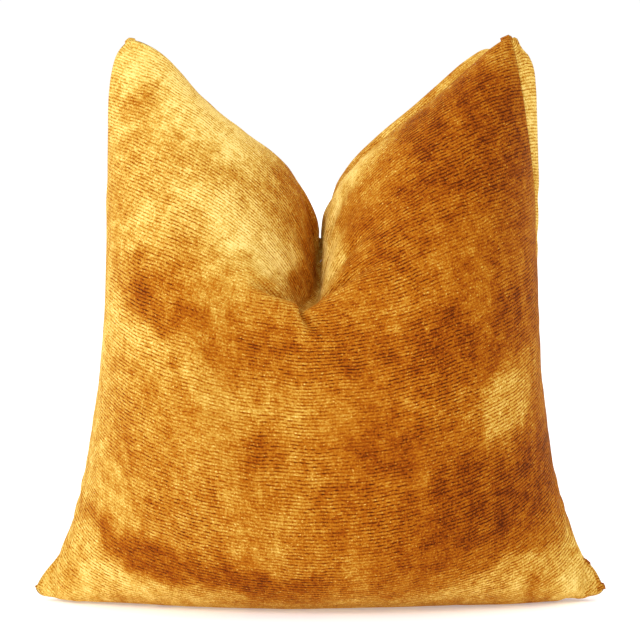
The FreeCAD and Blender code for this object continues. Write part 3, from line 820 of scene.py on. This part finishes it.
# %% [markdown]
# ## Velvet
# Velvet's colour is mostly light: where a hand has brushed the pile towards you it looks dark and deep, and
# where the pile leans away it shines pale. That sheen and shade are painted into the colour: the material has
# one number for the lie of the pile, from 0, deep amber in painted shade, to 1, pale gold in painted sheen.
# Its broad patches of painted sheen and shade are laid on the panels as an attribute, from a short list of
# strokes. Their ragged edges, the drips, tufts, painted glints and the painted shade in the furrows between
# the woven ribs are noise on the cloth's own map.

# %% Colours
def colour(red, green, blue):
    """A colour as seen on a screen, from 0 to 255, as the linear light that Blender works in."""
    seen = np.array([red, green, blue]) / 255
    return (*np.where(seen < .04045, seen / 12.92, ((seen + .055) / 1.055) ** 2.4), 1.0)


# Ramp of the painted light on the velvet: deep amber where the painted shade is deepest, pale gold where the
# painted sheen is brightest.
VELVET_SHADES = [
    (.00, colour(82, 30, 0)), (.22, colour(146, 66, 2)), (.45, colour(178, 104, 12)),
    (.66, colour(202, 148, 52)), (.84, colour(230, 190, 92)), (1.0, colour(252, 220, 130))]

# %% Strokes of painted sheen and shade
# across, up, half width, half height, lean of the pile as painted brightness (0 painted shade, 1 painted
# sheen), strength
SHEEN_AND_SHADE_STROKES = [
    (.10, .33, .20, .30, .84, .9),      # left side, painted sheen
    (.16, .95, .22, .12, .95, .9),      # left ear
    (.09, .90, .045, .03, .55, .7),     # its thumb mark
    (.20, .84, .18, .05, .66, .6),
    (.335, .785, .16, .060, .92, .9),    # painted highlight left of the crease
    (.22, .745, .10, .05, .80, .6),
    (.40, .945, .085, .070, .46, .9),   # where the hand came down
    (.455, .85, .035, .11, .42, .9),
    (.47, .72, .02, .05, .80, .8),      # the lip of the crease, painted highlight
    (.30, .625, .16, .05, .46, .8),     # left of the middle, painted shade
    (.25, .60, .06, .035, .34, .6),
    (.50, .585, .28, .045, .38, .8),    # painted shade in the band below the crease
    (.86, .74, .22, .26, .34, .85),     # the right lobe, painted shade
    (.62, .96, .14, .06, .95, .9),      # its inner edge, painted sheen
    (.55, .84, .05, .12, .90, .85),
    (.70, .88, .09, .05, .58, .6),
    (.88, .84, .13, .11, .26, .9),      # its outer half, painted shade
    (.86, .975, .14, .03, .50, .6),
    (.64, .70, .13, .09, .46, .7),
    (.78, .56, .18, .06, .26, .85),     # right of the middle, painted shade
    (.32, .36, .22, .16, .53, .8),      # the belly, left of its middle
    (.43, .42, .035, .035, .34, .7),    # a finger mark
    (.82, .435, .080, .055, .68, .9),   # painted highlight low on the right
    (.80, .29, .24, .085, .24, .9),     # painted shade under it
    (.61, .41, .09, .07, .31, .75),
    (.55, .28, .10, .08, .46, .6),
    (.30, .195, .22, .035, .28, .8),    # a low band of painted shade
    (.75, .135, .22, .035, .78, .8),
    (.50, .08, .50, .045, .72, .7),     # the underside, painted sheen
    (.06, .06, .10, .08, .80, .8),      # lower left corner
    (.96, .06, .08, .09, .84, .9),      # lower right corner
]


def pile_sheen_and_shade(x, z, seed, light_strokes):
    """Painted sheen and shade of the pile at points of a panel: a slope of painted light, brighter on the
    left where the lamp is, with the strokes laid over it.

    A stroke's weight is one inside its oval and falls off smoothly outside. Its edges are made ragged by
    noise: long drips up the cloth, and small steps across.
    """
    a, b = x / CUT, z / CUT
    drips = mottle(x, z, .011, .060, seed) + .5 * mottle(x, z, .005, .025, seed + 1)
    steps = mottle(x, z, .030, .030, seed + 2) + .5 * mottle(x, z, .012, .012, seed + 3)
    a, b = a + .016 * steps, b + .012 * drips + .016 * steps
    # Painted light: brighter on the left, where the lamp falls, and darker to the right.
    painted_light = .74 - .30 * smooth((a - .15) / .6)
    for across, up, wide, tall, stroke_brightness, strength in light_strokes:
        far = np.hypot((a - across) / wide, (b - up) / tall)
        weight = strength * smooth((1.45 - far) / 1.0)
        painted_light = painted_light * (1 - weight) + stroke_brightness * weight
    return painted_light + .05 * drips + .05 * mottle(x, z, .045, .030, seed + 4)


# Strokes of painted sheen and shade on the back panel, with the same columns.
BACK_SHEEN_AND_SHADE_STROKES = [
    (.97, .80, .07, .26, .88, .9),      # what rolls round to the front at the right ear
    (.62, .99, .40, .035, .80, .8),
    (.25, .70, .22, .16, .85, .8), (.72, .40, .24, .14, .24, .9), (.35, .30, .20, .10, .40, .7),
    (.70, .85, .18, .09, .72, .7), (.50, .55, .30, .04, .32, .7), (.18, .15, .16, .10, .80, .8),
    (.85, .15, .12, .10, .66, .7)]

# Each panel's painted sheen and shade is stored as an attribute on its points.
for panel, seed, light_strokes in ((velvet_front, 60, SHEEN_AND_SHADE_STROKES), (velvet_back, 80, BACK_SHEEN_AND_SHADE_STROKES)):
    mesh = panel.data
    x, z = np.empty(len(mesh.vertices)), np.empty(len(mesh.vertices))
    mesh.attributes["cloth_x"].data.foreach_get("value", x)
    mesh.attributes["cloth_z"].data.foreach_get("value", z)
    painted_light = np.clip(pile_sheen_and_shade(x, z, seed, light_strokes), 0, 1)
    mesh.attributes.new("pile_sheen_and_shade", "FLOAT", "POINT").data.foreach_set("value", painted_light)
    print(f"{panel.name}: pile lies from {painted_light.min():.2f} to {painted_light.max():.2f}, {painted_light.mean():.2f} on average")


# %% Helpers for materials
def new_material(name, roughness, **sockets):
    """A material of one shader, with values set straight on its sockets."""
    material = bpy.data.materials.new(name)
    material.use_nodes = True
    shader = material.node_tree.nodes["Principled BSDF"]
    for key, value in {"Roughness": roughness, **sockets}.items():
        shader.inputs[key.replace("_", " ")].default_value = value
    return material, shader


def add(material, kind, inputs, **settings):
    """A node whose inputs are values or other nodes' outputs."""
    made = material.node_tree.nodes.new("ShaderNode" + kind)
    for key, value in settings.items():
        setattr(made, key, value)
    for place, source in inputs.items():
        if isinstance(source, bpy.types.NodeSocket):
            material.node_tree.links.new(source, made.inputs[place])
        else:
            made.inputs[place].default_value = source
    return made


def calc(material, operation, *values, clamp=False):
    """The output of one sum."""
    return add(material, "Math", dict(enumerate(values)), operation=operation, use_clamp=clamp).outputs[0]


def noise(material, place, scale, detail=3.0, roughness=.55):
    """Noise from about 0 to 1 at a place, with its own scale along each axis."""
    stretched = add(material, "Mapping", {"Vector": place, "Scale": scale})
    return add(material, "TexNoise", {"Vector": stretched.outputs[0], "Scale": 1.0, "Detail": detail,
                                      "Roughness": roughness}).outputs[0]


def ramp(material, value, shades):
    """A colour ramp through (place, colour) shades."""
    made = add(material, "ValToRGB", {0: value})
    stops = made.color_ramp.elements
    stops[0].position, stops[0].color = shades[0]
    stops[1].position, stops[1].color = shades[-1]
    for place, shade in shades[1:-1]:
        stops.new(place).color = shade
    return made.outputs[0]


def paint(material, shader, value, shades):
    """Colour the shader by a value, through a ramp of shades."""
    material.node_tree.links.new(ramp(material, value, shades), shader.inputs["Base Color"])


def on_object(material):
    """The place on the object, in metres."""
    return add(material, "TexCoord", {}).outputs["Object"]


def darker(shade, share):
    return (*(np.array(shade[:3]) * share), 1.0)


def bump(material, shader, height, distance, strength=1.0):
    """Fine relief, from a height pattern."""
    made = add(material, "Bump", {"Height": height, "Distance": distance, "Strength": strength})
    material.node_tree.links.new(made.outputs[0], shader.inputs["Normal"])


# %% Velvet material
RIB = .00272           # from one woven rib to the next
# Noises that break the painted sheen and shade of the pile into drips, crushed patches, tufts and hairs.
PILE_LIGHT_NOISES = (        # scale across and up the cloth, per metre, detail, roughness, and strength
    (110, 24, 3, .55, .22),            # drips
    (62, 80, 6, .68, .80),             # crushed patches
    (230, 190, 5, .7, .55),            # tufts
    (700, 560, 3, .7, .95))            # hairs
PAINTED_GLINT, FURROW_SHADE = .60, -.55              # what a painted glint adds to the painted light, and what the painted shade in a furrow takes off
FURROW_DEEP, TUFT_HIGH, HAIR_HIGH = -.55, .8, .35        # shares of the relief
RELIEF = .0009


def velvet_material():
    """Ribbed velvet.

    The painted sheen and shade of the pile is the attribute plus four noises, and painted glints where single
    hairs stand up. Furrows between the ribs are a cosine of the cloth's height over the rib's pitch, to a
    power that narrows them; they are sunk by the bump and darkened as painted shade. One noise breaks that
    painted shade into dashes and another fades it in places.
    """
    material, shader = new_material(
        "velvet", .78, Sheen_Weight=.20, Sheen_Roughness=.30, Sheen_Tint=colour(255, 190, 80),
        Specular_IOR_Level=.06)
    cloth = add(material, "UVMap", {}, uv_map="cloth").outputs[0]
    painted_light = add(material, "Attribute", {}, attribute_name="pile_sheen_and_shade").outputs["Fac"]
    parts = []
    for across, up, detail, roughness, strength in PILE_LIGHT_NOISES:
        parts.append(noise(material, cloth, (across, up, 1), detail, roughness))
        painted_light = calc(material, "MULTIPLY_ADD", calc(material, "SUBTRACT", parts[-1], .5), strength, painted_light)
    _, _, tufts, hairs = parts

    def patches(scale, detail, roughness, slope, start):
        """Noise made steep, so that it is 0 in most places and 1 in patches."""
        return calc(material, "MULTIPLY_ADD", noise(material, cloth, scale, detail, roughness), slope, start,
                    clamp=True)

    # Painted glints: sparse specks of painted highlight where single hairs stand up.
    painted_light = calc(material, "MULTIPLY_ADD", patches((620, 820, 1), 2, .6, 5.0, -2.95), PAINTED_GLINT, painted_light)
    wobble = noise(material, cloth, (35, 12, 1), 2)
    height = add(material, "SeparateXYZ", {0: cloth}).outputs[1]
    height = calc(material, "MULTIPLY_ADD", calc(material, "SUBTRACT", wobble, .5), RIB * 2.0, height)
    wave = calc(material, "COSINE", calc(material, "MULTIPLY", height, 2 * math.pi / RIB))
    furrow = calc(material, "POWER", calc(material, "MULTIPLY_ADD", wave, .5, .5), 2.5)
    # Painted shade in the furrows between the ribs, broken into dashes and faded in places.
    shade = calc(material, "MULTIPLY", furrow, patches((230, 420, 1), 3, .6, 4.0, -1.45))
    shade = calc(material, "MULTIPLY", shade, patches((14, 11, 1), 2, .55, 2.6, -.55))
    painted_light = calc(material, "MULTIPLY_ADD", shade, FURROW_SHADE, painted_light)
    paint(material, shader, painted_light, VELVET_SHADES)
    relief = calc(material, "MULTIPLY_ADD", furrow, FURROW_DEEP, calc(material, "MULTIPLY", tufts, TUFT_HIGH))
    relief = calc(material, "MULTIPLY_ADD", hairs, HAIR_HIGH, relief)
    bump(material, shader, relief, RELIEF, .8)
    return material


# %% [markdown]
# ## Threads, tapes, metal and cotton
# The small pieces are hardly seen on a standing pillow, but they show when it is picked up. Threads are
# twisted, so fine lines slant round them. Zip tapes are woven in a small herringbone, coils are smooth
# nylon, and the slider, its pull and the stops are brass, worn a little where they rub.

# %% Small materials
def thread_material(name, shade):
    """Twisted thread: slanting bands of a darker shade, painted shade in the grooves of the twist."""
    material, shader = new_material(name, .6, Sheen_Weight=.3)
    place = on_object(material)
    twist = add(material, "TexWave", {"Vector": place, "Scale": 500.0, "Distortion": 1.5},
                bands_direction="DIAGONAL").outputs["Fac"]
    # Painted shade: darker where the twist's bump is low, in its grooves.
    paint(material, shader, twist, [(0, darker(shade, .6)), (1, shade)])
    bump(material, shader, twist, .0001, .6)
    return material


def woven_material(name, shade, thread, **sockets):
    """Plain weave: two waves at right angles, of which the higher one shows."""
    material, shader = new_material(name, .8, **sockets)
    place = on_object(material)
    warp, weft = (add(material, "TexWave", {"Vector": place, "Scale": .3 / thread, "Distortion": .4,
                                            "Detail": 1.0}, bands_direction=way).outputs["Fac"]
                  for way in ("X", "Z"))
    weave = calc(material, "MAXIMUM", warp, weft)
    slubs = noise(material, place, (300, 300, 300), 3)
    # The tone is random slubs plus painted shade: darker where the weave is low, in the gaps between the
    # threads.
    tone = calc(material, "MULTIPLY_ADD", slubs, .5, calc(material, "MULTIPLY", weave, .5))
    paint(material, shader, tone, [(.2, darker(shade, .66)), (.8, shade)])
    bump(material, shader, weave, thread * .3, .7)
    return material

# %% Metal, nylon and down
def brass_material():
    """Brass, duller and paler where it has rubbed."""
    material, shader = new_material("brass", .3, Metallic=1.0)
    place = on_object(material)
    wear = noise(material, place, (600, 600, 600), 4)
    paint(material, shader, wear, [(.35, colour(150, 112, 48)), (.65, colour(214, 172, 92))])
    rough = calc(material, "MULTIPLY_ADD", wear, .35, .15)
    material.node_tree.links.new(rough, shader.inputs["Roughness"])
    bump(material, shader, noise(material, place, (2500, 2500, 2500), 2), .00003, .5)
    return material


def nylon_material():
    """Smooth dyed nylon, a little milky."""
    material, shader = new_material("nylon_coil", .35, Subsurface_Weight=.1, Subsurface_Scale=.001)
    place = on_object(material)
    tone = noise(material, place, (200, 200, 200), 3)
    paint(material, shader, tone, [(.3, colour(150, 96, 24)), (.7, colour(188, 130, 44))])
    bump(material, shader, noise(material, place, (3000, 800, 800), 2), .00004, .5)
    return material


def down_material():
    """Down seen through its gaps: soft pale tufts."""
    material, shader = new_material("down", .95, Sheen_Weight=.5)
    place = on_object(material)
    tufts = noise(material, place, (70, 70, 70), 5, .65)
    # Painted shade: darker where the tufts are low, in the hollows between them, where the bump also sinks.
    paint(material, shader, tufts, [(.3, colour(205, 200, 190)), (.7, colour(246, 244, 238))])
    bump(material, shader, tufts, .004, .8)
    return material

# %% All the finishes
finishes = {
    "velvet": velvet_material(),
    "gold_thread": thread_material("gold_thread", colour(206, 150, 56)),
    "white_thread": thread_material("white_thread", colour(238, 234, 224)),
    "zip_tape": woven_material("zip_tape", colour(186, 128, 44), .0005),
    "zip_coil": nylon_material(),
    "zip_metal": brass_material(),
    "cotton": woven_material("cotton", colour(240, 236, 226), .0006, Sheen_Weight=.1),
    "down": down_material(),
}

# %% [markdown]
# ## Every piece gets its finish and its body
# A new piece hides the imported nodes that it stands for, rides on the body that carries it, and takes its
# finish from the same slot. The zip's own nodes are already right in shape, so they stay and only change
# their material.


def finish(piece, slot, node):
    """Dress a new piece and hand it to the pillow's body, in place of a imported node."""
    piece.data.materials.clear()
    piece.data.materials.append(finishes[slot])
    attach(piece, "pillow")
    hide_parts(node)


new_pieces = [
    (velvet_front, "velvet", "front_panel"), (velvet_back, "velvet", "back_panel"),
    (cotton[0], "cotton", "insert_shell_front"), (cotton[1], "cotton", "insert_shell_back"),
    (filling, "down", "insert_filling"), (cotton_stitches, "white_thread", "insert_seam_stitches"),
    (closing_stitches, "white_thread", "insert_closing_stitches")]
new_pieces += [(piece, "gold_thread", node) for node, piece in cover_threads.items()]
for piece, slot, node in new_pieces:
    finish(piece, slot, node)
for piece in (velvet_front, velvet_back, *cotton, filling):
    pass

zip_finish = {"zip_tape": "zip_tape", "zip_coil": "zip_coil", "zip_stitches": "gold_thread",
              "zip_bar_tacks": "gold_thread", "zip_top_stop": "zip_metal", "zip_bottom_stop": "zip_metal",
              "zip_slider": "zip_metal", "zip_pull": "zip_metal"}
for name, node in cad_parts.items():
    for start, slot in zip_finish.items():
        if name.startswith(start):
            node.data.materials.clear()
            node.data.materials.append(finishes[slot])
print(f"{len(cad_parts)} packed nodes, {len(new_pieces)} new pieces")

# %% [markdown]
# ## Floor, light and camera
# The pillow stands on a wide white floor in a bright white studio. The studio's own light is even, and a
# large soft lamp to the left and in front gives the velvet its shape. The camera looks almost level, from
# 2.6 metres, far enough off that the pillow keeps its proportions.

# %% Floor
def flat_floor(half):
    """A level square, centred under the object."""
    x = np.array([-half, half])
    points = np.stack(np.broadcast_arrays(x[None], x[:, None], 0.0), -1)
    return new_mesh("paper_floor", points, quads(np.arange(4).reshape(2, 2)))


paper = flat_floor(40)
paper_finish, paper_shader = new_material("paper", .9, Base_Color=colour(250, 250, 250),
                                          Emission_Color=colour(255, 255, 255), Emission_Strength=.30)
grain = noise(paper_finish, on_object(paper_finish), (400, 400, 400))
bump(paper_finish, paper_shader, grain, .0002, .2)
paper.data.materials.append(paper_finish)


# %% Light
def soft_lamp(name, place, size, power, aim=(0, 0, .22)):
    """A square lamp that faces the pillow."""
    lamp = bpy.data.lights.new(name, "AREA")
    lamp.shape, lamp.size, lamp.energy = "SQUARE", size, power
    stand = bpy.data.objects.new(name, lamp)
    stand.location = place
    stand.rotation_euler = (Vector(aim) - Vector(place)).to_track_quat("-Z", "Y").to_euler()
    bpy.context.scene.collection.objects.link(stand)


STUDIO_LIGHT = 1.02     # strength of the studio's even light, just past paper white
soft_lamp("window", (-1.9, -1.7, 1.5), 1.4, 29)
soft_lamp("fill", (1.7, -2.2, .9), 1.8, 2)
soft_lamp("ceiling", (0, .1, 2.6), 2.4, 4)
studio = bpy.data.worlds.new("studio")
studio.use_nodes = True
studio.node_tree.nodes["Background"].inputs["Color"].default_value = (1, 1, 1, 1)
studio.node_tree.nodes["Background"].inputs["Strength"].default_value = STUDIO_LIGHT
bpy.context.scene.world = studio
bpy.context.scene.view_settings.view_transform = "Standard"

# %% Camera
CAMERA_AWAY, CAMERA_UP = 2.6, math.radians(3)
AIM_UP = .498                          # height that the camera looks at, as a share of the pillow's
VIEW_WIDTH = .542                      # what the picture spans at the pillow
SENSOR = 36                            # in millimetres
camera_data = bpy.data.cameras.new("camera")
camera_data.sensor_width = SENSOR
camera_data.lens = SENSOR * CAMERA_AWAY / VIEW_WIDTH
camera = bpy.data.objects.new("camera", camera_data)
camera.location = (0, -CAMERA_AWAY * math.cos(CAMERA_UP),
                   AIM_UP * HEIGHT + CAMERA_AWAY * math.sin(CAMERA_UP))
camera.rotation_euler = (math.pi / 2 - CAMERA_UP, 0, 0)
bpy.context.scene.collection.objects.link(camera)
bpy.context.scene.camera = camera
